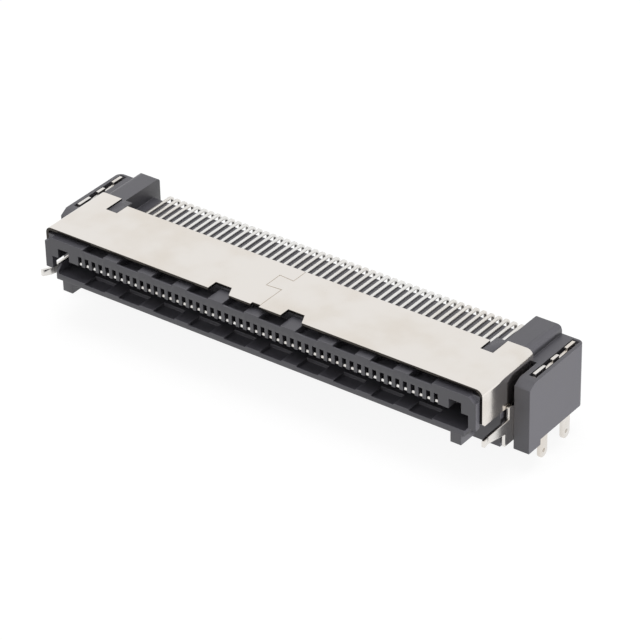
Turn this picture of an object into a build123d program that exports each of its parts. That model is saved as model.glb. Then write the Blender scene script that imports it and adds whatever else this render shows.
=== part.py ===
"""Right-angle, shielded, self-mating board connector with two rows of contacts at a fine pitch.

Millimetres. X runs along the rows, -Y is the way the mating face looks, +Z leaves the board.
The origin is on the board's surface, in the middle of the four board-lock pins.
"""
from build123d import *
import os

os.makedirs("parts", exist_ok=True)

# Contact rows
pitch = 0.5
contacts_per_bay = 5
bays = 10
contact_width = 0.2
contact_thickness = 0.14
slot_clearance = 0.03
tip_setback = 0.1
bump_reach = 0.1
bump_setback = 0.6
tip_rise = 0.12
foot_length = 0.8
tail_bend = 0.14

# Depths of the housing along Y
mating_face = -6.2
base_front = -3.85
base_rear = 0.35
ledge_rear = 1.65
block_front = -3.15
block_rear = 2.25
cavity_depth = 2.95
tail_overhang = 0.67
lower_tail_gap = 0.25
lower_reach = 0.9
land_depth = 1.25

# Heights of the housing above the board
wall_bottom = 1.68
wall_thickness = 0.38
cavity_height = 1.06
slot_height = 0.62
tongue_height = 1.19
shelf_thickness = 1.0
block_height = 4.0
ridge_rise = 0.62
side_wall_bottom = 2.3
side_window_top = 2.65

# Housing across X, from the middle
tongue_margin = 0.82
cavity_side_gap = 0.8
key_step = 0.45
corner_gap = 0.23
side_wall = 0.5
lip_width = 0.16
lip_height = 0.53
lip_slope = 0.35
block_width = 1.0
cheek_margin = 0.9
ridge_width = 1.6
ridge_round = 0.5
ridge_rear_round = 0.22
rim_chamfer = 0.3
rim_ledge = 0.16

# Pads and pockets on the tongue and on the lower wall
pad_width = 1.0
pocket_front_wall = 0.12
rim_drop = 0.12
pocket_depth = 0.42
wall_rim_drop = 0.09
wall_pocket_depth = 0.2
wall_pocket_length = 0.9

# Legs under the ends of the lower wall, and the foot of each end block
leg_width = 0.7
leg_inset = 0.3
leg_depth = 1.3
leg_drop = 0.75
leg_setback = 0.15
foot_drop = 0.35
foot_depth = 1.15
nose_drop = 0.3
nose_depth = 0.5
corner_round = 0.4

# Folded shield
sheet = 0.17
shield_gap = 0.24
shield_setback = 0.35
shield_depth = 4.4
ear_depth = 0.48
shield_drop = 2.35
bend_round = 0.4
notch_width = 1.1
notch_depth = 0.72
notch_flare = 0.33
notch_shift = 0.19
slot_width = 0.8
slot_depth = 1.45
slot_margin = 0.4
seam_middle = 0.25
seam_width = 0.06
seam_depth = 0.05
seam_tab_length = 1.0
seam_tab_neck = 1.1
seam_tab_head = 1.25
seam_tab_depth = 2.12
seam_nick = 0.55
seam_nick_depth = 0.2
finger_clearance = 0.06

# Board-lock clips with their spring arms
clip_sheet = 0.2
clip_gap = 0.02
clip_inset = 0.36
clip_end_clearance = 0.15
merlon_rise = 0.08
merlon_drop = 0.22
merlon_centres = (-1.55, -0.05, 1.45)
merlon_lengths = (1.0, 0.6, 0.8)
clip_bottom = 0.22
slot_mouth = 0.46
slot_mouth_depth = 0.5
pin_spacing = 2.25
pin_width = 0.75
pin_reach = 1.78
dimple_radius = 0.12
dimple_depth = 0.06
dimple_height = 0.45
web_height = 1.5
root_reach = 0.83
root_top = 2.5
root_step = 0.4
root_crest = 0.3
arm_top = 1.75
arm_height = 0.74
arm_tip_lift = 0.12
arm_tip_height = 0.4
arm_setback = 0.05
arm_flare = 0.15
arm_flare_length = 0.55

# Sizes that follow from the ones above
positions = bays * contacts_per_bay
bay_pitch = contacts_per_bay * pitch
first_contact = -(positions - 1) * pitch / 2
wall_top = wall_bottom + wall_thickness
tongue_bottom = wall_top + cavity_height
slot_top = tongue_bottom + slot_height
tongue_top = tongue_bottom + tongue_height
ledge_top = slot_top - contact_thickness
body_top = tongue_top + shield_gap
shield_top = body_top + sheet
cavity_rear = mating_face + cavity_depth
shield_front = mating_face + shield_setback
shield_rear = shield_front + shield_depth
ear_rear = shield_rear + ear_depth
body_step = shield_rear - sheet
tongue_half = -first_contact + tongue_margin
cavity_half = tongue_half + cavity_side_gap
key_half = cavity_half + key_step
body_half = key_half + side_wall
wall_half = key_half - corner_gap
shield_half = body_half + sheet
block_inner = shield_half + clip_gap + clip_sheet
block_outer = block_inner + block_width
cheek_inner = -first_contact + cheek_margin
clip_middle = block_outer - clip_inset - clip_sheet / 2
plate_front = block_front + foot_depth - clip_end_clearance / 2
plate_rear = block_rear - 2 * clip_end_clearance
ridge_top = block_height + ridge_rise
pocket_width = bay_pitch - pad_width
lower_start = cavity_rear - lower_reach
sides = (-1, 1)


def facing_front(y):
    """Plane at depth y whose normal looks out of the mating face."""
    return Plane.XZ.offset(-y)


def box(x0, x1, y0, y1, z0, z1, mode=Mode.ADD):
    """Block between two corners, for either order of x."""
    with Locations(((x0 + x1) / 2, (y0 + y1) / 2, (z0 + z1) / 2)):
        Box(abs(x1 - x0), y1 - y0, z1 - z0, mode=mode)


# Housing: one black moulding
with BuildPart() as housing:
    # Side view of the body: lower wall, base on the board, shelf for the tails, tongue
    with BuildSketch(Plane.YZ):
        with BuildLine():
            Polyline(
                (mating_face, wall_bottom),
                (base_front, wall_bottom),
                (base_front, 0),
                (base_rear, 0),
                (base_rear, ledge_top - shelf_thickness),
                (ledge_rear, ledge_top - shelf_thickness),
                (ledge_rear, ledge_top),
                (body_step, ledge_top),
                (body_step, body_top),
                (mating_face + land_depth, body_top),
                (mating_face + land_depth, tongue_top),
                (mating_face, tongue_top),
                close=True,
            )
        make_face()
    extrude(amount=body_half, both=True)
    # Shoulders under the ears of the shield
    for side in sides:
        box(side * cheek_inner, side * body_half, body_step, ear_rear + clip_gap, 0, body_top)
    # The long top edges are rounded to lie inside the bends of the shield
    with BuildSketch(facing_front(mating_face)):
        with Locations((0, body_top / 2)):
            Rectangle(2 * body_half, body_top)
        fillet(vertices().group_by(Axis.Y)[-1], bend_round - sheet)
    extrude(amount=mating_face - block_rear, mode=Mode.INTERSECT)

    for side in sides:
        # Cheek beside the shelf, and end block outside the shield
        box(side * cheek_inner, side * block_outer, ear_rear + clip_gap, block_rear, 0, block_height)
        box(side * block_inner, side * block_outer, block_front, ear_rear + clip_gap, 0, block_height)
        box(side * block_inner, side * block_outer, block_front, block_front + foot_depth, -foot_drop, 0)
        # Ridge along the inner edge of the cheek, with its outer and rear edges rounded over
        with BuildSketch(facing_front(ear_rear + clip_gap)):
            with Locations((side * (cheek_inner + ridge_width / 2), block_height)):
                Rectangle(ridge_width, 2 * ridge_rise)
            upper_corners = vertices().group_by(Axis.Y)[-1].sort_by(Axis.X)
            fillet(upper_corners[-1] if side > 0 else upper_corners[0], ridge_round)
        extrude(amount=-(block_rear - ear_rear - clip_gap))
        with BuildSketch(Plane.YZ.offset(side * cheek_inner)):
            with BuildLine():
                Line((block_rear - ridge_rear_round, ridge_top), (block_rear, ridge_top))
                Line((block_rear, ridge_top), (block_rear, ridge_top - ridge_rear_round))
                CenterArc(
                    (block_rear - ridge_rear_round, ridge_top - ridge_rear_round), ridge_rear_round, 0, 90
                )
            make_face()
        extrude(amount=side * ridge_width, mode=Mode.SUBTRACT)
        # Finger that fills the slot of the shield
        finger_middle = side * (cheek_inner - slot_margin / 2)
        finger_half = slot_width / 2 - finger_clearance
        box(
            finger_middle - finger_half,
            finger_middle + finger_half,
            ear_rear - slot_depth + finger_clearance,
            ear_rear + clip_gap,
            body_top,
            shield_top - finger_clearance,
        )
        # Leg under the end of the lower wall
        leg_middle = side * (wall_half - leg_inset - leg_width / 2)
        leg_front = mating_face + leg_setback
        box(
            leg_middle - leg_width / 2,
            leg_middle + leg_width / 2,
            leg_front,
            leg_front + leg_depth,
            wall_bottom - leg_drop,
            wall_bottom,
        )

    # Mating cavity: it rises round both ends of the tongue and is stepped out for the other half's key
    with BuildSketch(facing_front(mating_face)):
        with BuildLine():
            Polyline(
                (-tongue_half, tongue_bottom),
                (-tongue_half, slot_top),
                (-cavity_half, slot_top),
                (-cavity_half, tongue_bottom),
                (-key_half, tongue_bottom),
                (-key_half, wall_top),
                (key_half, wall_top),
                (key_half, tongue_bottom),
                (cavity_half, tongue_bottom),
                (cavity_half, slot_top),
                (tongue_half, slot_top),
                (tongue_half, tongue_bottom),
                close=True,
            )
        make_face()
    extrude(amount=-cavity_depth, mode=Mode.SUBTRACT)

    for side in sides:
        # Open lower corner, where the spring arm reaches forward, and the window above it behind the rim
        box(side * wall_half, side * shield_half, mating_face, base_front, 0, side_wall_bottom, Mode.SUBTRACT)
        box(side * wall_half, side * shield_half, shield_front, base_front, 0, side_window_top, Mode.SUBTRACT)
        # Cut-off upper corner of the rim in front of the shield
        with BuildSketch(facing_front(mating_face)):
            with BuildLine():
                Polyline(
                    (side * (body_half - rim_ledge - rim_chamfer), tongue_top),
                    (side * (body_half - rim_ledge), tongue_top - rim_chamfer),
                    (side * body_half, tongue_top - rim_chamfer),
                    (side * body_half, tongue_top),
                    close=True,
                )
            make_face()
        extrude(amount=-shield_setback, mode=Mode.SUBTRACT)
    # Key lip at the left end of the lower wall, sloped at the front to lead the other half in
    with BuildSketch(Plane.YZ.offset(-wall_half)):
        with BuildLine():
            Polyline(
                (mating_face, wall_top),
                (mating_face, wall_top + lip_height - lip_slope),
                (mating_face + lip_slope, wall_top + lip_height),
                (cavity_rear, wall_top + lip_height),
                (cavity_rear, wall_top),
                close=True,
            )
        make_face()
    extrude(amount=lip_width)

    # Comb of slots in the tongue, and the channels that carry both rows through the body
    slot_centre = (tongue_bottom + slot_top) / 2
    with BuildSketch(facing_front(mating_face)):
        with Locations((0, slot_centre)):
            with GridLocations(pitch, 1, positions, 1):
                Rectangle(contact_width + 2 * slot_clearance, slot_height)
    extrude(amount=-cavity_depth, mode=Mode.SUBTRACT)
    with BuildSketch(facing_front(cavity_rear)):
        with Locations((0, ledge_top + contact_thickness / 2)):
            with GridLocations(pitch, 1, positions, 1):
                Rectangle(contact_width, contact_thickness)
    extrude(amount=-(body_step - cavity_rear), mode=Mode.SUBTRACT)
    with BuildSketch(facing_front(lower_start)):
        with Locations((0, wall_top - contact_thickness / 2)):
            with GridLocations(pitch, 1, positions, 1):
                Rectangle(contact_width, contact_thickness)
    extrude(amount=-(base_rear - lower_start), mode=Mode.SUBTRACT)

    # Pockets between pads on the tongue and on the lower wall, one in each bay behind a lowered rim
    for top, drop, depth, length in (
        (tongue_top, rim_drop, pocket_depth, land_depth - pocket_front_wall),
        (wall_top, wall_rim_drop, wall_pocket_depth, wall_pocket_length),
    ):
        with Locations((0, mating_face + pocket_front_wall / 2, top - drop / 2)):
            with GridLocations(bay_pitch, 1, bays, 1):
                Box(pocket_width, pocket_front_wall, drop, mode=Mode.SUBTRACT)
        with Locations((0, mating_face + pocket_front_wall + length / 2, top - depth / 2)):
            with GridLocations(bay_pitch, 1, bays, 1):
                Box(pocket_width, length, depth, mode=Mode.SUBTRACT)

    for side in sides:
        # Slot for the clip: a wide mouth at the top, narrow below, and a cross slot for its web
        mouth_middle = side * clip_middle
        box(
            mouth_middle - slot_mouth / 2,
            mouth_middle + slot_mouth / 2,
            plate_front - clip_end_clearance,
            plate_rear + clip_end_clearance,
            block_height - slot_mouth_depth,
            block_height,
            Mode.SUBTRACT,
        )
        box(
            mouth_middle - clip_sheet / 2,
            mouth_middle + clip_sheet / 2,
            plate_front,
            plate_rear,
            0,
            block_height - slot_mouth_depth,
            Mode.SUBTRACT,
        )
        box(
            side * block_inner,
            side * (clip_middle - clip_sheet / 2),
            plate_front,
            plate_front + clip_sheet,
            -foot_drop,
            clip_bottom + web_height,
            Mode.SUBTRACT,
        )
        # Sloped nose over the front of the end block
        with BuildSketch(Plane.YZ.offset(side * block_inner)):
            with BuildLine():
                Polyline(
                    (block_front, block_height),
                    (block_front, block_height - nose_drop),
                    (block_front + nose_depth, block_height),
                    close=True,
                )
            make_face()
        extrude(amount=side * block_width, mode=Mode.SUBTRACT)
    upright = housing.edges().filter_by(Axis.Z)
    outer_rear = upright.filter_by(
        lambda e: abs(abs(e.center().X) - block_outer) < 0.01 and abs(e.center().Y - block_rear) < 0.01
    )
    fillet(outer_rear, corner_round)
housing.part.label = "housing"
export_step(housing.part, "parts/housing.step")

# Shield: one sheet, folded down over both sides
with BuildPart() as shield:
    with BuildSketch(facing_front(shield_front)):
        with BuildLine():
            middle = shield_half - sheet / 2
            crown = shield_top - sheet / 2
            bend = bend_round - sheet / 2
            FilletPolyline(
                (-middle, shield_top - shield_drop),
                (-middle, crown),
                (middle, crown),
                (middle, shield_top - shield_drop),
                radius=bend,
            )
        trace(line_width=sheet)
    extrude(amount=-(shield_depth + ear_depth))
    slot_middle = cheek_inner - slot_margin / 2
    slot_inner = slot_middle - slot_width / 2
    # Rear edge set forward of the ears, slots beside the ears, nick and flared notches in the front edge
    with BuildSketch(Plane.XY.offset(shield_top)):
        with Locations((0, ear_rear - ear_depth / 2)):
            Rectangle(2 * slot_inner, ear_depth)
        for side in sides:
            with Locations((side * slot_middle, ear_rear - slot_depth / 2)):
                Rectangle(slot_width, slot_depth)
        with Locations((seam_middle - seam_nick / 2, shield_front + seam_nick_depth / 2)):
            Rectangle(seam_nick, seam_nick_depth)
        for side in sides:
            notch_left = side * bay_pitch - notch_shift - notch_width / 2
            with BuildLine():
                Polyline(
                    (notch_left, shield_front),
                    (notch_left, shield_front + notch_depth),
                    (notch_left + notch_width, shield_front + notch_depth),
                    (notch_left + notch_width + notch_flare, shield_front),
                    close=True,
                )
            make_face()
    extrude(amount=-2 * sheet, mode=Mode.SUBTRACT)
    # Dovetailed seam between the front edge and the rear edge
    tab_front = shield_front + seam_tab_depth
    tab_rear = tab_front + seam_tab_neck
    flank = (seam_tab_head - seam_tab_neck) / 2
    with BuildSketch(Plane.XY.offset(shield_top)):
        with BuildLine():
            Polyline(
                (seam_middle, shield_front),
                (seam_middle, tab_front),
                (seam_middle - seam_tab_length, tab_front - flank),
                (seam_middle - seam_tab_length, tab_rear + flank),
                (seam_middle, tab_rear),
                (seam_middle, shield_rear),
            )
        trace(line_width=seam_width)
    extrude(amount=-seam_depth, mode=Mode.SUBTRACT)
    # Lower front corners of the side walls
    lowest = shield.edges().filter_by(Axis.X).filter_by(lambda e: e.center().Z < side_wall_bottom + 1)
    chamfer(lowest.filter_by(lambda e: e.center().Y < shield_front + 0.01), sheet * 1.5)
shield.part.label = "shield"
export_step(shield.part, "parts/shield.step")


def spring_arm(side, root_rear):
    """Sheet between shield and end block that runs forward as a tapered arm, flared at its tip."""
    middle = side * (shield_half + clip_gap + clip_sheet / 2)
    tip = mating_face + arm_setback
    tip_top = arm_top + arm_tip_lift
    root_front = block_front - root_reach
    crest_front = root_front + root_step
    root_foot = arm_top - arm_height
    with BuildPart() as arm:
        # Seen from above: straight, then flared outwards at the tip
        with BuildSketch(Plane.XY):
            with BuildLine():
                Polyline((middle, root_rear), (middle, tip + arm_flare_length), (middle + side * arm_flare, tip))
            trace(line_width=clip_sheet)
        extrude(amount=root_top)
        # Seen from the side: high root, tapered arm
        with BuildSketch(Plane.YZ.offset(middle - 2 * clip_sheet)):
            with BuildLine():
                Polyline(
                    (root_rear, clip_bottom),
                    (root_rear, clip_bottom + web_height),
                    (crest_front + root_crest, root_top),
                    (crest_front, root_top),
                    (crest_front, arm_top),
                    (tip + arm_flare_length, arm_top),
                    (tip - clip_sheet, tip_top),
                    (tip - clip_sheet, tip_top - arm_tip_height),
                    (root_front, root_foot),
                    (root_front, clip_bottom),
                    close=True,
                )
            make_face()
        extrude(amount=4 * clip_sheet, mode=Mode.INTERSECT)
    return arm


def board_lock_clip(side):
    """Stamped clip: plate with two board-lock pins, a web, and a spring arm beside the shield."""
    outer_face = side * clip_middle + clip_sheet / 2
    arm_face = side * (shield_half + clip_gap)
    top = block_height + merlon_rise
    with BuildPart() as clip:
        # Plate with a stepped top edge and round-ended pins
        with BuildSketch(Plane.YZ.offset(outer_face)):
            with Locations(((plate_front + plate_rear) / 2, (clip_bottom + top - merlon_drop) / 2)):
                Rectangle(plate_rear - plate_front, top - merlon_drop - clip_bottom)
            for centre, length in zip(merlon_centres, merlon_lengths):
                with Locations((centre, top - merlon_drop)):
                    Rectangle(length, 2 * merlon_drop)
            for pin in sides:
                pin_y = pin * pin_spacing / 2
                pin_length = clip_bottom + pin_reach - pin_width / 2
                with Locations((pin_y, clip_bottom - pin_length / 2)):
                    Rectangle(pin_width, pin_length)
                with Locations((pin_y, pin_width / 2 - pin_reach)):
                    Circle(pin_width / 2)
        extrude(amount=-clip_sheet)
        with BuildSketch(Plane.YZ.offset(outer_face)):
            for pin in sides:
                with Locations((pin * pin_spacing / 2, dimple_height - pin_reach)):
                    Circle(dimple_radius)
        extrude(amount=-dimple_depth, mode=Mode.SUBTRACT)
        # Web across to the arm
        box(arm_face, outer_face, plate_front, plate_front + clip_sheet, clip_bottom, clip_bottom + web_height)
        add(spring_arm(side, plate_front + clip_sheet).part)
    return clip


for side, name in zip(sides, ("left_clip", "right_clip")):
    clip = board_lock_clip(side)
    clip.part.label = name
    export_step(clip.part, f"parts/{name}.step")

# Contacts: each node holds the five separate contacts of one bay of one row, with cut corners for bends
foot_level = contact_thickness / 2
upper_level = ledge_top + contact_thickness / 2
lower_level = wall_top - contact_thickness / 2
upper_tail = ledge_rear + tail_overhang - contact_thickness / 2
lower_tail = base_rear + lower_tail_gap + contact_thickness / 2
upper_route = (
    (mating_face + tip_setback, tongue_bottom + tip_rise),
    (mating_face + bump_setback, tongue_bottom - bump_reach + contact_thickness / 2),
    (cavity_rear, upper_level),
    (upper_tail - tail_bend, upper_level),
    (upper_tail, upper_level - tail_bend),
    (upper_tail, foot_level + tail_bend),
    (upper_tail + tail_bend, foot_level),
    (upper_tail + foot_length, foot_level),
)
lower_route = (
    (lower_start, lower_level),
    (lower_tail - tail_bend, lower_level),
    (lower_tail, lower_level - tail_bend),
    (lower_tail, foot_level + tail_bend),
    (lower_tail + tail_bend, foot_level),
    (lower_tail + foot_length, foot_level),
)
for row, route in (("upper", upper_route), ("lower", lower_route)):
    for bay in range(bays):
        with BuildPart() as contacts:
            for step in range(contacts_per_bay):
                across = first_contact + (bay * contacts_per_bay + step) * pitch
                with BuildSketch(Plane.YZ.offset(across)):
                    with BuildLine():
                        Polyline(*route)
                    trace(line_width=contact_thickness)
                extrude(amount=contact_width / 2, both=True)
        contacts.part.label = f"{row}_contacts_bay_{bay + 1:02d}"
        export_step(contacts.part, f"parts/{contacts.part.label}.step")
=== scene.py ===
"""Finishes for a right-angle, shielded, self-mating board connector.

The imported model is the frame. Each operator dresses one part of the connector, and the last
one sets up the table, the light and the camera.
"""

import math

import bmesh
import bpy
from bpy.props import FloatProperty, FloatVectorProperty, IntProperty, PointerProperty
from bpy.types import Operator, Panel, PropertyGroup
from mathutils import Matrix, Vector
from mathutils.bvhtree import BVHTree


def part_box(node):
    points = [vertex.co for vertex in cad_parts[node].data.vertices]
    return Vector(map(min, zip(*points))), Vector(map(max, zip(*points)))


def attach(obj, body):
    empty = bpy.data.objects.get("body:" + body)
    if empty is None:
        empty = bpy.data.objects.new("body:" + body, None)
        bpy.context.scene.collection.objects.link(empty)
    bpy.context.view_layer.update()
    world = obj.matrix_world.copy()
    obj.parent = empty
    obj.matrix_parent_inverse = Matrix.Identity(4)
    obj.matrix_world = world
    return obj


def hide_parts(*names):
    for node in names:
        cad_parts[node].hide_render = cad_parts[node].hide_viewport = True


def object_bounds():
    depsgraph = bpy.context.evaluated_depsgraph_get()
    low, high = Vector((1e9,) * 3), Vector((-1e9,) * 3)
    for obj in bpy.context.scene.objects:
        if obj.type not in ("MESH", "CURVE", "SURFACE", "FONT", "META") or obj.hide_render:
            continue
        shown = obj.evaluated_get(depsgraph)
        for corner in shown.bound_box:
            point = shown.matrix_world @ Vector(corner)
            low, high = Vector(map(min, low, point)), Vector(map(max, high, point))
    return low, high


bl_info = {
    "name": "Self-mating Connector Finishes",
    "version": (1, 0, 0),
    "blender": (4, 5, 0),
    "location": "View3D > Sidebar > Connector",
    "description": "Dresses the moulding, shield, clips and contacts of a board connector",
    "category": "Object",
}

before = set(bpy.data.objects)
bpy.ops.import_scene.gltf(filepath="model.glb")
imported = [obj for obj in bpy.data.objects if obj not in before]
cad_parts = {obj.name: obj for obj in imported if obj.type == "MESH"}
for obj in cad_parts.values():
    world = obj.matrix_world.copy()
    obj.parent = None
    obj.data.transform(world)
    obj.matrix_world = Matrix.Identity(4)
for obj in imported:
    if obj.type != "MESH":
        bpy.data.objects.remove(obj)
CAD_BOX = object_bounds()
MM = 0.001
BODY = "root"


# Sizes and colours

class MouldingFinish(PropertyGroup):
    colour: FloatVectorProperty(
        name="Plastic", description="Colour of the moulded housing", subtype="COLOR",
        size=3, min=0.0, max=1.0, default=(0.065, 0.063, 0.074),
    )
    # Painted highlight: the rounded edges of the moulding are painted paler, in place of the sheen that
    # light gives them.
    edge_highlight_colour: FloatVectorProperty(
        name="Edges", description="Colour along the highlighted edges of the moulding", subtype="COLOR",
        size=3, min=0.0, max=1.0, default=(0.082, 0.080, 0.092),
    )
    roughness: FloatProperty(
        name="Roughness", description="Mean roughness of the moulded surface",
        subtype="FACTOR", min=0.0, max=1.0, default=0.44,
    )
    edge_radius: FloatProperty(
        name="Edge Radius", description="Rounding of the moulded edges",
        subtype="DISTANCE", unit="LENGTH", precision=6, min=0.0, default=0.022 * MM,
    )


class SheetFinish(PropertyGroup):
    shield_colour: FloatVectorProperty(
        name="Shield", description="Colour of the plated shield", subtype="COLOR",
        size=3, min=0.0, max=1.0, default=(0.79, 0.755, 0.715),
    )
    tarnish_colour: FloatVectorProperty(
        name="Tarnish", description="Colour of the faint warm clouds in the plating", subtype="COLOR",
        size=3, min=0.0, max=1.0, default=(0.74, 0.69, 0.63),
    )
    clip_colour: FloatVectorProperty(
        name="Clips", description="Colour of the plated clips", subtype="COLOR",
        size=3, min=0.0, max=1.0, default=(0.78, 0.76, 0.73),
    )
    # Painted shade: sheared faces are bare metal, a little darker than the plating, and this near-black
    # colour paints the shade and dark reflection on them.
    cut_shade_colour: FloatVectorProperty(
        name="Cut Edges", description="Colour of the sheared edges of the sheet", subtype="COLOR",
        size=3, min=0.0, max=1.0, default=(0.05, 0.045, 0.04),
    )
    thickness: FloatProperty(
        name="Thickness", description="Thickness of the shield's sheet",
        subtype="DISTANCE", unit="LENGTH", precision=6, min=0.0, default=0.17 * MM,
    )
    shield_edge: FloatProperty(
        name="Shield Edge", description="Rounding of the shield's cut edges",
        subtype="DISTANCE", unit="LENGTH", precision=6, min=0.0, default=0.025 * MM,
    )
    clip_edge: FloatProperty(
        name="Clip Edge", description="Rounding of the clips' cut edges",
        subtype="DISTANCE", unit="LENGTH", precision=6, min=0.0, default=0.02 * MM,
    )


class ContactSizes(PropertyGroup):
    count: IntProperty(name="Positions", description="Contacts in one row", default=50, min=1)
    pitch: FloatProperty(
        name="Pitch", description="Distance between neighbouring contacts",
        subtype="DISTANCE", unit="LENGTH", precision=6, default=0.5 * MM,
    )
    width: FloatProperty(
        name="Width", description="Width of a contact across the row",
        subtype="DISTANCE", unit="LENGTH", precision=6, default=0.2 * MM,
    )
    thickness: FloatProperty(
        name="Thickness", description="Thickness of the contact strip",
        subtype="DISTANCE", unit="LENGTH", precision=6, default=0.14 * MM,
    )
    edge: FloatProperty(
        name="Edge", description="Rounding of the strip's long edges",
        subtype="DISTANCE", unit="LENGTH", precision=6, min=0.0, default=0.025 * MM,
    )
    foot: FloatProperty(
        name="Foot", description="Length of the foot on the board",
        subtype="DISTANCE", unit="LENGTH", precision=6, default=0.8 * MM,
    )
    bend: FloatProperty(
        name="Bend Radius", description="Radius of the bends, on the middle of the strip",
        subtype="DISTANCE", unit="LENGTH", precision=6, default=0.22 * MM,
    )
    bend_steps: IntProperty(name="Bend Steps", description="Steps round each bend", default=5, min=1)
    colour: FloatVectorProperty(
        name="Contacts", description="Colour of the plated contacts", subtype="COLOR",
        size=3, min=0.0, max=1.0, default=(0.80, 0.79, 0.77),
    )
    tarnish_colour: FloatVectorProperty(
        name="Tarnish", description="Colour of the faint clouds on the contacts", subtype="COLOR",
        size=3, min=0.0, max=1.0, default=(0.76, 0.73, 0.69),
    )


class Studio(PropertyGroup):
    azimuth: FloatProperty(
        name="Azimuth", description="Turn of the camera round the connector, from the mating face",
        subtype="ANGLE", default=math.radians(36.99),
    )
    elevation: FloatProperty(
        name="Elevation", description="Height of the camera above the table, as an angle",
        subtype="ANGLE", default=math.radians(32.34),
    )
    roll: FloatProperty(
        name="Roll", description="Tilt of the camera about its own axis",
        subtype="ANGLE", default=math.radians(-1.27),
    )
    distance: FloatProperty(
        name="Distance", description="From the camera to the middle of the view",
        subtype="DISTANCE", unit="LENGTH", default=182.2 * MM,
    )
    target: FloatVectorProperty(
        name="Target", description="Middle of the view", subtype="XYZ", unit="LENGTH",
        size=3, precision=6, default=(1.25 * MM, -1.607 * MM, 2.0 * MM),
    )
    lens: FloatProperty(
        name="Lens", description="Focal length on a 36 mm sensor", min=1.0, default=183.67,
    )
    side_power: FloatProperty(
        name="Side", description="Power of the low strip lamp beside the right end",
        unit="POWER", precision=4, default=0.008,
    )
    front_power: FloatProperty(
        name="Front", description="Power of the high soft lamp in front on the left",
        unit="POWER", precision=4, default=0.17,
    )
    top_power: FloatProperty(
        name="Top", description="Power of the soft lamp overhead",
        unit="POWER", precision=4, default=0.6,
    )
    ambient: FloatProperty(
        name="Ambient", description="Strength of the plain world light", min=0.0, default=0.15,
    )
    glow: FloatProperty(
        name="Table Glow", description="Share of the table's white that is seen but casts no light",
        subtype="FACTOR", min=0.0, max=1.0, default=0.9,
    )


class ConnectorSettings(PropertyGroup):
    moulding: PointerProperty(
        type=MouldingFinish, name="Moulding", description="Finish of the housing",
    )
    sheet: PointerProperty(
        type=SheetFinish, name="Sheet Metal", description="Finish of shield and clips",
    )
    contacts: PointerProperty(
        type=ContactSizes, name="Contacts", description="Sizes and finish of the contact strips",
    )
    studio: PointerProperty(
        type=Studio, name="Studio", description="Table, light and camera",
    )


def sizes():
    """The settings that the operators read."""
    return bpy.context.scene.connector


# Shader helpers

def new_group(name, inputs, outputs):
    """A shader node group with its sockets; returns it with its input and output nodes."""
    group = bpy.data.node_groups.new(name, "ShaderNodeTree")
    for label, kind, default in inputs:
        socket = group.interface.new_socket(name=label, in_out="INPUT", socket_type=kind)
        socket.default_value = default
    for label, kind in outputs:
        group.interface.new_socket(name=label, in_out="OUTPUT", socket_type=kind)
    return group, group.nodes.new("NodeGroupInput"), group.nodes.new("NodeGroupOutput")


def grain_group():
    """Fine spark-eroded grain: a height field and a mask of slow changes in tone and gloss."""
    group, given, out = new_group(
        "Moulded Grain",
        [("Vector", "NodeSocketVector", (0.0, 0.0, 0.0)), ("Scale", "NodeSocketFloat", 20000.0)],
        [("Height", "NodeSocketFloat"), ("Clouds", "NodeSocketFloat")],
    )
    nodes, links = group.nodes, group.links
    fine = nodes.new("ShaderNodeTexNoise")
    fine.inputs["Detail"].default_value = 3.0
    fine.inputs["Roughness"].default_value = 0.6
    links.new(given.outputs["Vector"], fine.inputs["Vector"])
    links.new(given.outputs["Scale"], fine.inputs["Scale"])
    slow = nodes.new("ShaderNodeTexNoise")
    slow.inputs["Detail"].default_value = 2.0
    coarser = nodes.new("ShaderNodeMath")
    coarser.operation = "MULTIPLY"
    coarser.inputs[1].default_value = 0.04
    links.new(given.outputs["Scale"], coarser.inputs[0])
    links.new(given.outputs["Vector"], slow.inputs["Vector"])
    links.new(coarser.outputs[0], slow.inputs["Scale"])
    links.new(fine.outputs["Fac"], out.inputs["Height"])
    links.new(slow.outputs["Fac"], out.inputs["Clouds"])
    return group


def rolled_group():
    """Rolling lines of thin plated sheet: a height field of streaks and a mask of warm clouds."""
    group, given, out = new_group(
        "Rolled Plating",
        [
            ("Vector", "NodeSocketVector", (0.0, 0.0, 0.0)),
            ("Streaks", "NodeSocketFloat", 9000.0),
            ("Clouds", "NodeSocketFloat", 220.0),
        ],
        [("Height", "NodeSocketFloat"), ("Tarnish", "NodeSocketFloat")],
    )
    nodes, links = group.nodes, group.links
    stretch = nodes.new("ShaderNodeMapping")
    stretch.inputs["Scale"].default_value = (0.06, 1.0, 1.0)
    links.new(given.outputs["Vector"], stretch.inputs["Vector"])
    streaks = nodes.new("ShaderNodeTexNoise")
    streaks.inputs["Detail"].default_value = 4.0
    streaks.inputs["Roughness"].default_value = 0.65
    links.new(stretch.outputs["Vector"], streaks.inputs["Vector"])
    links.new(given.outputs["Streaks"], streaks.inputs["Scale"])
    clouds = nodes.new("ShaderNodeTexNoise")
    clouds.inputs["Detail"].default_value = 3.0
    clouds.inputs["Roughness"].default_value = 0.55
    links.new(given.outputs["Vector"], clouds.inputs["Vector"])
    links.new(given.outputs["Clouds"], clouds.inputs["Scale"])
    spread = nodes.new("ShaderNodeMapRange")
    spread.interpolation_type = "SMOOTHSTEP"
    spread.inputs["From Min"].default_value = 0.42
    spread.inputs["From Max"].default_value = 0.68
    links.new(clouds.outputs["Fac"], spread.inputs["Value"])
    links.new(streaks.outputs["Fac"], out.inputs["Height"])
    links.new(spread.outputs["Result"], out.inputs["Tarnish"])
    return group


GROUPS = {}


def shared(name, make):
    """The node group of that name, built the first time that it is asked for."""
    if name not in GROUPS:
        GROUPS[name] = make()
    return GROUPS[name]


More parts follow.
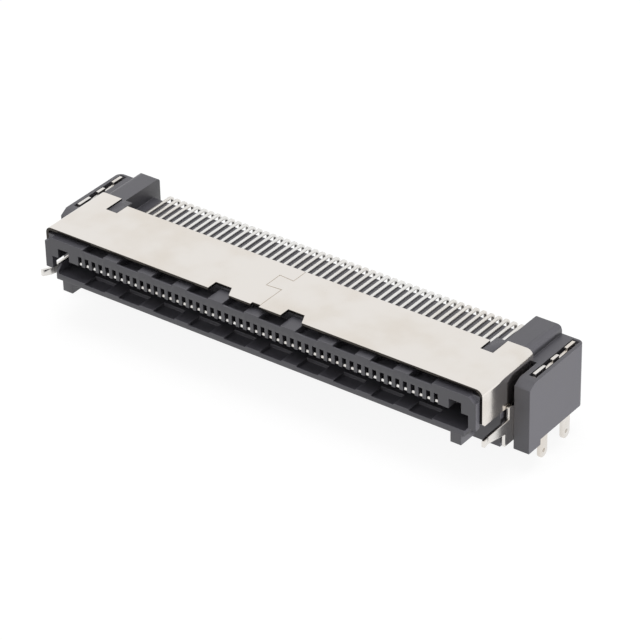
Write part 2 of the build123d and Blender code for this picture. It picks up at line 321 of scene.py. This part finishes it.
def new_material(name):
    """An empty node material; returns it with its nodes, links and Principled shader."""
    material = bpy.data.materials.new(name)
    material.use_nodes = True
    nodes, links = material.node_tree.nodes, material.node_tree.links
    nodes.clear()
    shader = nodes.new("ShaderNodeBsdfPrincipled")
    out = nodes.new("ShaderNodeOutputMaterial")
    links.new(shader.outputs["BSDF"], out.inputs["Surface"])
    return material, nodes, links, shader


def mix_colours(nodes, links, factor, first, second):
    """A colour mix of two fixed colours by a factor socket."""
    mix = nodes.new("ShaderNodeMix")
    mix.data_type = "RGBA"
    mix.inputs["A"].default_value = (*first, 1.0)
    mix.inputs["B"].default_value = (*second, 1.0)
    links.new(factor, mix.inputs["Factor"])
    return mix


def spread_value(nodes, links, factor, low, high):
    """A number that runs from low to high as the factor goes from 0 to 1."""
    spread = nodes.new("ShaderNodeMapRange")
    spread.inputs["To Min"].default_value = low
    spread.inputs["To Max"].default_value = high
    links.new(factor, spread.inputs["Value"])
    return spread.outputs["Result"]


def add_bump(nodes, links, height, shader, strength, distance):
    """A bump from a height socket into the shader's normal."""
    bump = nodes.new("ShaderNodeBump")
    bump.inputs["Strength"].default_value = strength
    bump.inputs["Distance"].default_value = distance
    links.new(height, bump.inputs["Height"])
    links.new(bump.outputs["Normal"], shader.inputs["Normal"])


def moulding_material():
    """Black glass-filled plastic with a fine grain, and a painted highlight that makes the rounded
    edges slightly paler.
    """
    finish = sizes().moulding
    material, nodes, links, shader = new_material("Black Moulding")
    place = nodes.new("ShaderNodeTexCoord")
    grain = nodes.new("ShaderNodeGroup")
    grain.node_tree = shared("grain", grain_group)
    grain.inputs["Scale"].default_value = 16000.0
    links.new(place.outputs["Object"], grain.inputs["Vector"])
    # Painted highlight: faces marked in the layer "edge" take the paler edge colour.
    edge = nodes.new("ShaderNodeAttribute")
    edge.attribute_name = "edge"
    colour = mix_colours(nodes, links, edge.outputs["Fac"], finish.colour, finish.edge_highlight_colour)
    tone = nodes.new("ShaderNodeMix")
    tone.data_type = "RGBA"
    tone.blend_type = "MULTIPLY"
    tone.inputs["Factor"].default_value = 1.0
    links.new(colour.outputs["Result"], tone.inputs["A"])
    shade = nodes.new("ShaderNodeCombineColor")
    level = spread_value(nodes, links, grain.outputs["Clouds"], low=0.78, high=1.22)
    for channel in ("Red", "Green", "Blue"):
        links.new(level, shade.inputs[channel])
    links.new(shade.outputs["Color"], tone.inputs["B"])
    links.new(tone.outputs["Result"], shader.inputs["Base Color"])
    rough = spread_value(
        nodes, links, grain.outputs["Clouds"],
        low=finish.roughness - 0.09, high=finish.roughness + 0.09,
    )
    links.new(rough, shader.inputs["Roughness"])
    shader.inputs["IOR"].default_value = 1.75
    add_bump(nodes, links, grain.outputs["Height"], shader, strength=0.35, distance=0.006 * MM)
    return material


def sheet_material(name, colour, tarnish, roughness, streak_bump):
    """Plated sheet metal with rolling lines, warm clouds and painted shade on the cut faces that the
    mesh marks.
    """
    material, nodes, links, shader = new_material(name)
    place = nodes.new("ShaderNodeTexCoord")
    plating = nodes.new("ShaderNodeGroup")
    plating.node_tree = shared("rolled", rolled_group)
    links.new(place.outputs["Object"], plating.inputs["Vector"])
    tint = mix_colours(nodes, links, plating.outputs["Tarnish"], colour, tarnish)
    # Painted shade: faces marked in the layer "cut" take the near-black cut colour.
    cut = nodes.new("ShaderNodeAttribute")
    cut.attribute_name = "cut"
    shaded_cut_mix = nodes.new("ShaderNodeMix")
    shaded_cut_mix.data_type = "RGBA"
    shaded_cut_mix.inputs["B"].default_value = (*sizes().sheet.cut_shade_colour, 1.0)
    links.new(cut.outputs["Fac"], shaded_cut_mix.inputs["Factor"])
    links.new(tint.outputs["Result"], shaded_cut_mix.inputs["A"])
    links.new(shaded_cut_mix.outputs["Result"], shader.inputs["Base Color"])
    rough = spread_value(
        nodes, links, plating.outputs["Tarnish"], low=roughness - 0.04, high=roughness + 0.06,
    )
    links.new(rough, shader.inputs["Roughness"])
    shader.inputs["Metallic"].default_value = 1.0
    add_bump(nodes, links, plating.outputs["Height"], shader, streak_bump, distance=0.004 * MM)
    return material


# Mesh helpers

WELD = 0.0004 * MM  # points closer than this become one
ON_CUT = 0.0002 * MM  # points closer than this to a cut lie in it
FLAT = math.radians(0.8)  # neighbouring faces within this angle are merged
SHARP = math.radians(32.0)  # edges steeper than this are rounded, or stay sharp where room is short
STRIP_SHARP = math.radians(50.0)  # the same limit on a contact strip, above its rounded edges
ROOM = 2.2  # least width of a face beside a rounded edge, in radii of the rounding
DEPTH_OF_CUT = 1.3  # least depth of material behind a sheared face, in thicknesses of the sheet
WIDTH_OF_CUT = 0.5  # least width of a sheared face, in thicknesses of the sheet
SKIN = 0.001 * MM  # how far under a face the depth is measured from

def face_width(face):
    """Width of a long face: its area over its longest edge."""
    return face.calc_area() / max(edge.calc_length() for edge in face.edges)


def mark_shaded_cuts(work, sheet):
    """Writes 1 to the layer "cut" on sheared faces, wide ones with much material behind them, for the
    painted shade on cuts.
    """
    cut_shade_mask = work.faces.layers.float.new("cut")
    tree = BVHTree.FromBMesh(work)
    for face in work.faces:
        inward = -face.normal
        place, _, _, depth = tree.ray_cast(face.calc_center_median() + inward * SKIN, inward)
        deep = place is None or depth > DEPTH_OF_CUT * sheet
        face[cut_shade_mask] = 1.0 if deep and face_width(face) > WIDTH_OF_CUT * sheet else 0.0


def has_room(edge, radius, shortest):
    """True if rounding the edge can't reach past its faces, and no edge at its ends is too short."""
    lengths = [near.calc_length() for vert in edge.verts for near in vert.link_edges]
    return min(map(face_width, edge.link_faces)) > ROOM * radius and min(lengths) > shortest


def slot_centres():
    """Places of the contact slots along the row."""
    row = sizes().contacts
    return [(i - (row.count - 1) / 2) * row.pitch for i in range(row.count)]


def cut_across(work, places):
    """Cuts all faces at these places along X; returns the edges that lie in the cuts."""
    for x in places:
        bmesh.ops.bisect_plane(
            work, geom=work.verts[:] + work.edges[:] + work.faces[:],
            dist=ON_CUT / 2, plane_co=(x, 0.0, 0.0), plane_no=(1.0, 0.0, 0.0),
        )
    return {
        edge for edge in work.edges
        if any(all(abs(vert.co.x - x) < ON_CUT for vert in edge.verts) for x in places)
    }


def add_piece(name, mesh):
    """An object for a finished mesh, shaded by the size of its faces except at sharp edges."""
    piece = bpy.data.objects.new(name, mesh)
    bpy.context.scene.collection.objects.link(piece)
    weighted = piece.modifiers.new("Weighted Normals", "WEIGHTED_NORMAL")
    weighted.weight = 100
    weighted.keep_sharp = True
    return piece


def edged_copy(name, node, radius, material, sheet=None, cuts=(), shortest=0.0):
    """A welded copy of a CAD node with rounded edges.

    Its flat faces are merged, but not over the cuts, so that a face round many openings stays
    simple. Where the thickness of a sheet is given, the sheared faces are marked for painted shade.
    The rounded faces are marked for a painted highlight, which only the moulding uses.
    """
    work = bmesh.new()
    work.from_mesh(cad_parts[node].data)
    bmesh.ops.remove_doubles(work, verts=work.verts, dist=WELD)
    in_cuts = cut_across(work, cuts)
    merged = [edge for edge in work.edges if edge not in in_cuts]
    bmesh.ops.dissolve_limit(work, angle_limit=FLAT, verts=work.verts, edges=merged)
    if sheet:
        mark_shaded_cuts(work, sheet)
    # The rounded faces are marked in the layer "edge", where the moulding paints a highlight.
    edge_highlight_mask = work.faces.layers.float.new("edge")
    steep = [edge for edge in work.edges if edge.is_manifold and edge.calc_face_angle(0.0) > SHARP]
    rounded = {edge for edge in steep if has_room(edge, radius, shortest)}
    for edge in steep:
        edge.smooth = edge in rounded
    made = bmesh.ops.bevel(
        work, geom=list(rounded), offset=radius, offset_type="OFFSET", segments=2,
        profile=0.5, affect="EDGES", clamp_overlap=False, loop_slide=False,
    )
    for face in made["faces"]:
        face[edge_highlight_mask] = 1.0
    for face in work.faces:
        face.smooth = True
    mesh = bpy.data.meshes.new(name)
    work.to_mesh(mesh)
    work.free()
    mesh.materials.append(material)
    return add_piece(name, mesh)


def finish_piece(piece, slot, *nodes):
    """Lets a finished piece ride on the body and stand for its CAD nodes, which it hides; slot is not
    used.
    """
    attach(piece, BODY)
    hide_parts(*nodes)


# Contact strips, made by geometry nodes

def strip_tree():
    """Sweeps a rounded strip along the base line and repeats it along the row."""
    tree = bpy.data.node_groups.new("Contact Row", "GeometryNodeTree")
    face = tree.interface
    face.new_socket(name="Geometry", in_out="INPUT", socket_type="NodeSocketGeometry")
    for label, kind in (
        ("Positions", "NodeSocketInt"),
        ("Pitch", "NodeSocketFloat"),
        ("Width", "NodeSocketFloat"),
        ("Thickness", "NodeSocketFloat"),
        ("Bend Radius", "NodeSocketFloat"),
        ("Bend Steps", "NodeSocketInt"),
        ("Edge", "NodeSocketFloat"),
        ("Material", "NodeSocketMaterial"),
    ):
        face.new_socket(name=label, in_out="INPUT", socket_type=kind)
    face.new_socket(name="Geometry", in_out="OUTPUT", socket_type="NodeSocketGeometry")
    nodes, links = tree.nodes, tree.links
    given, out = nodes.new("NodeGroupInput"), nodes.new("NodeGroupOutput")
    line = nodes.new("GeometryNodeMeshToCurve")
    links.new(given.outputs["Geometry"], line.inputs["Mesh"])
    upright = nodes.new("GeometryNodeSetCurveNormal")
    upright.mode = "FREE"
    upright.inputs["Normal"].default_value = (1.0, 0.0, 0.0)
    bends = nodes.new("GeometryNodeFilletCurve")
    bends.mode = "POLY"
    bends.inputs["Limit Radius"].default_value = True
    links.new(line.outputs["Curve"], bends.inputs["Curve"])
    links.new(given.outputs["Bend Radius"], bends.inputs["Radius"])
    links.new(given.outputs["Bend Steps"], bends.inputs["Count"])
    links.new(bends.outputs["Curve"], upright.inputs["Curve"])
    section = nodes.new("GeometryNodeCurvePrimitiveQuadrilateral")
    links.new(given.outputs["Width"], section.inputs["Width"])
    links.new(given.outputs["Thickness"], section.inputs["Height"])
    corners = nodes.new("GeometryNodeFilletCurve")
    corners.mode = "POLY"
    corners.inputs["Count"].default_value = 1
    corners.inputs["Limit Radius"].default_value = True
    links.new(section.outputs["Curve"], corners.inputs["Curve"])
    links.new(given.outputs["Edge"], corners.inputs["Radius"])
    sweep = nodes.new("GeometryNodeCurveToMesh")
    sweep.inputs["Fill Caps"].default_value = True
    links.new(upright.outputs["Curve"], sweep.inputs["Curve"])
    links.new(corners.outputs["Curve"], sweep.inputs["Profile Curve"])
    spots = nodes.new("GeometryNodeMeshLine")
    links.new(given.outputs["Positions"], spots.inputs["Count"])
    step = nodes.new("ShaderNodeCombineXYZ")
    links.new(given.outputs["Pitch"], step.inputs["X"])
    links.new(step.outputs["Vector"], spots.inputs["Offset"])
    row = nodes.new("GeometryNodeInstanceOnPoints")
    links.new(spots.outputs["Mesh"], row.inputs["Points"])
    links.new(sweep.outputs["Mesh"], row.inputs["Instance"])
    real = nodes.new("GeometryNodeRealizeInstances")
    links.new(row.outputs["Instances"], real.inputs["Geometry"])
    finish = nodes.new("GeometryNodeSetMaterial")
    links.new(real.outputs["Geometry"], finish.inputs["Geometry"])
    links.new(given.outputs["Material"], finish.inputs["Material"])
    links.new(finish.outputs["Geometry"], out.inputs["Geometry"])
    return tree


def contact_row(name, route, tree, material):
    """One row of contacts along a route given in depth and height, in metres."""
    row = sizes().contacts
    first = -(row.count - 1) * row.pitch / 2
    line = bpy.data.meshes.new(name + " line")
    points = [(first, y, z) for y, z in route]
    line.from_pydata(points, [(i, i + 1) for i in range(len(points) - 1)], [])
    base = bpy.data.objects.new(name + " line", line)
    bpy.context.scene.collection.objects.link(base)
    modifier = base.modifiers.new("Contact Row", "NODES")
    modifier.node_group = tree
    values = {
        "Positions": row.count,
        "Pitch": row.pitch,
        "Width": row.width,
        "Thickness": row.thickness,
        "Bend Radius": row.bend,
        "Bend Steps": row.bend_steps,
        "Edge": row.edge,
        "Material": material,
    }
    for item in tree.interface.items_tree:
        if item.in_out == "INPUT" and item.name in values:
            modifier[item.identifier] = values[item.name]
    base.update_tag()
    bpy.context.view_layer.update()
    evaluated = base.evaluated_get(bpy.context.evaluated_depsgraph_get())
    mesh = bpy.data.meshes.new_from_object(evaluated)
    mesh.name = name
    base.modifiers.remove(modifier)
    bpy.data.objects.remove(base)
    bpy.data.meshes.remove(line)
    mesh.materials.clear()
    mesh.materials.append(material)
    mesh.shade_smooth()
    mesh.set_sharp_from_angle(angle=STRIP_SHARP)
    return add_piece(name, mesh)


# Operators

class CONNECTOR_OT_housing(Operator):
    """Dress the moulded housing: rounded edges and grained black plastic"""
    bl_idname = "connector.housing"
    bl_label = "Housing"

    def execute(self, context):
        finish = sizes().moulding
        black = moulding_material()
        piece = edged_copy(
            "moulded_housing", "housing", finish.edge_radius, black,
            cuts=slot_centres(), shortest=2 * finish.edge_radius,
        )
        finish_piece(piece, "black_plastic", "housing")
        return {"FINISHED"}


class CONNECTOR_OT_shield(Operator):
    """Dress the folded shield: eased cut edges and plated sheet metal"""
    bl_idname = "connector.shield"
    bl_label = "Shield"

    def execute(self, context):
        finish = sizes().sheet
        metal = sheet_material(
            "Shield Plating", finish.shield_colour, finish.tarnish_colour,
            roughness=0.15, streak_bump=0.08,
        )
        piece = edged_copy("folded_shield", "shield", finish.shield_edge, metal, sheet=finish.thickness)
        finish_piece(piece, "shield_metal", "shield")
        return {"FINISHED"}


class CONNECTOR_OT_clips(Operator):
    """Dress the two stamped clips with their pins and spring arms"""
    bl_idname = "connector.clips"
    bl_label = "Clips"

    def execute(self, context):
        finish = sizes().sheet
        metal = sheet_material(
            "Clip Plating", finish.clip_colour, finish.tarnish_colour,
            roughness=0.24, streak_bump=0.15,
        )
        for side in ("left", "right"):
            piece = edged_copy(side + "_stamped_clip", side + "_clip", finish.clip_edge, metal)
            finish_piece(piece, "clip_metal", side + "_clip")
        return {"FINISHED"}


class CONNECTOR_OT_contacts(Operator):
    """Make both rows of bent contact strips"""
    bl_idname = "connector.contacts"
    bl_label = "Contacts"

    def execute(self, context):
        row = sizes().contacts
        tree = strip_tree()
        metal = sheet_material(
            "Contact Plating", row.colour, row.tarnish_colour,
            roughness=0.3, streak_bump=0.03,
        )
        # The springs start at a raised tip, touch the other half and lie in the body from there
        tip = (-6.10 * MM, 3.24 * MM)
        touch = (-5.60 * MM, 3.09 * MM)
        cavity_rear = -3.25 * MM
        _, upper_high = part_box("upper_contacts_bay_01")
        lower_low, lower_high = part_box("lower_contacts_bay_01")
        for name, start, high in (
            ("upper", [tip, touch, (cavity_rear, upper_high[2] - row.thickness / 2)], upper_high),
            ("lower", [(lower_low[1], lower_high[2] - row.thickness / 2)], lower_high),
        ):
            tail = high[1] - row.foot
            route = [
                *start,
                (tail, high[2] - row.thickness / 2),
                (tail, row.thickness / 2),
                (high[1], row.thickness / 2),
            ]
            piece = contact_row(name + "_row", route, tree, metal)
            bays = [n for n in sorted(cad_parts) if n.startswith(name + "_contacts")]
            finish_piece(piece, "contact_metal", *bays)
        return {"FINISHED"}


class CONNECTOR_OT_stage(Operator):
    """Set up the white table, the soft lamps and the camera"""
    bl_idname = "connector.stage"
    bl_label = "Stage"

    def execute(self, context):
        studio = sizes().studio
        scene = context.scene
        scene.view_settings.view_transform = "Standard"
        add_world(studio)
        add_table(studio)
        for name, place, width, height, power in LAMPS:
            add_lamp(name, place, width, height, getattr(studio, power))
        add_camera(studio)
        return {"FINISHED"}


# Stage

# Name, place, width and height of each lamp in metres, and the setting that holds its power
LAMPS = (
    ("Side Lamp", (0.04, -0.004, 0.0003), 0.02, 0.003, "side_power"),
    ("Front Lamp", (-0.10, -0.17, 0.21), 0.16, 0.16, "front_power"),
    ("Top Lamp", (0.0, 0.0, 0.30), 0.24, 0.24, "top_power"),
)
TABLE_HALF = 1.5  # metres from the middle of the table to its sides


def seen_rays(nodes, links):
    """1 for a ray from the camera, a reflection or glass, and 0 for one that only brings light."""
    path = nodes.new("ShaderNodeLightPath")
    value = path.outputs["Is Camera Ray"]
    for ray in ("Is Glossy Ray", "Is Transmission Ray"):
        either = nodes.new("ShaderNodeMath")
        either.operation = "MAXIMUM"
        links.new(value, either.inputs[0])
        links.new(path.outputs[ray], either.inputs[1])
        value = either.outputs[0]
    return value


def add_world(studio):
    """Plain white surroundings that light the part more weakly than they are seen."""
    world = bpy.data.worlds.new("White Room")
    bpy.context.scene.world = world
    world.use_nodes = True
    nodes, links = world.node_tree.nodes, world.node_tree.links
    nodes.clear()
    out = nodes.new("ShaderNodeOutputWorld")
    white = nodes.new("ShaderNodeBackground")
    white.inputs["Color"].default_value = (1.0, 1.0, 1.0, 1.0)
    strength = spread_value(nodes, links, seen_rays(nodes, links), low=studio.ambient, high=1.0)
    links.new(strength, white.inputs["Strength"])
    links.new(white.outputs["Background"], out.inputs["Surface"])


def add_table(studio):
    """A wide white table under the pins, which shows as white and keeps a soft shadow."""
    bottom = CAD_BOX[0][2]
    work = bmesh.new()
    bmesh.ops.create_grid(work, x_segments=1, y_segments=1, size=TABLE_HALF)
    mesh = bpy.data.meshes.new("Table")
    work.to_mesh(mesh)
    work.free()
    mesh.transform(Matrix.Translation((0.0, 0.0, bottom)))
    table = bpy.data.objects.new("Table", mesh)
    bpy.context.scene.collection.objects.link(table)
    material, nodes, links, shader = new_material("White Table")
    shader.inputs["Base Color"].default_value = (0.15, 0.15, 0.15, 1.0)
    shader.inputs["Roughness"].default_value = 0.9
    shader.inputs["Specular IOR Level"].default_value = 0.0
    shader.inputs["Emission Color"].default_value = (1.0, 1.0, 1.0, 1.0)
    glow = spread_value(nodes, links, seen_rays(nodes, links), low=0.0, high=studio.glow)
    links.new(glow, shader.inputs["Emission Strength"])
    mesh.materials.append(material)


def add_lamp(name, place, width, height, power):
    """A soft lamp that faces the part and isn't seen in metal, which shows the white room."""
    light = bpy.data.lights.new(name, "AREA")
    light.shape = "RECTANGLE"
    light.size = width
    light.size_y = height
    light.energy = power
    lamp = bpy.data.objects.new(name, light)
    lamp.visible_glossy = False
    bpy.context.scene.collection.objects.link(lamp)
    lamp.location = place
    lamp.rotation_euler = (-Vector(place)).to_track_quat("-Z", "Y").to_euler()


def add_camera(studio):
    """A long lens at the photograph's viewing angle, suited to a square picture of 640 by 640; the
    picture size is not set here.
    """
    data = bpy.data.cameras.new("Camera")
    data.sensor_fit = "HORIZONTAL"
    data.sensor_width = 36.0
    data.lens = studio.lens
    data.clip_start = 0.01
    data.clip_end = 10.0
    camera = bpy.data.objects.new("Camera", data)
    bpy.context.scene.collection.objects.link(camera)
    turn, rise = studio.azimuth, studio.elevation
    forward = Vector((
        -math.sin(turn) * math.cos(rise),
        math.cos(turn) * math.cos(rise),
        -math.sin(rise),
    ))
    level = forward.cross(Vector((0.0, 0.0, 1.0))).normalized()
    above = level.cross(forward)
    right = level * math.cos(studio.roll) + above * math.sin(studio.roll)
    up = right.cross(forward)
    axes = Matrix((right, up, -forward)).transposed().to_4x4()
    place = Vector(studio.target) - forward * studio.distance
    camera.matrix_world = Matrix.Translation(place) @ axes
    bpy.context.scene.camera = camera


# Panel and registration

STEPS = (
    CONNECTOR_OT_housing,
    CONNECTOR_OT_shield,
    CONNECTOR_OT_clips,
    CONNECTOR_OT_contacts,
    CONNECTOR_OT_stage,
)


class CONNECTOR_PT_steps(Panel):
    """Lists the steps that dress the connector"""
    bl_idname = "CONNECTOR_PT_steps"
    bl_label = "Connector"
    bl_space_type = "VIEW_3D"
    bl_region_type = "UI"
    bl_category = "Connector"

    def draw(self, context):
        settings = context.scene.connector
        for group in ("moulding", "sheet", "contacts", "studio"):
            box = self.layout.box()
            box.label(text=group.title())
            for key in getattr(settings, group).bl_rna.properties.keys():
                if key not in ("rna_type", "name"):
                    box.prop(getattr(settings, group), key)
        for step in STEPS:
            self.layout.operator(step.bl_idname)


CLASSES = (
    MouldingFinish,
    SheetFinish,
    ContactSizes,
    Studio,
    ConnectorSettings,
    *STEPS,
    CONNECTOR_PT_steps,
)


def register():
    for item in CLASSES:
        bpy.utils.register_class(item)
    bpy.types.Scene.connector = PointerProperty(type=ConnectorSettings)


def unregister():
    del bpy.types.Scene.connector
    for item in reversed(CLASSES):
        bpy.utils.unregister_class(item)


def main():
    register()
    bpy.ops.connector.housing()
    bpy.ops.connector.shield()
    bpy.ops.connector.clips()
    bpy.ops.connector.contacts()
    bpy.ops.connector.stage()


if __name__ == "__main__":
    main()
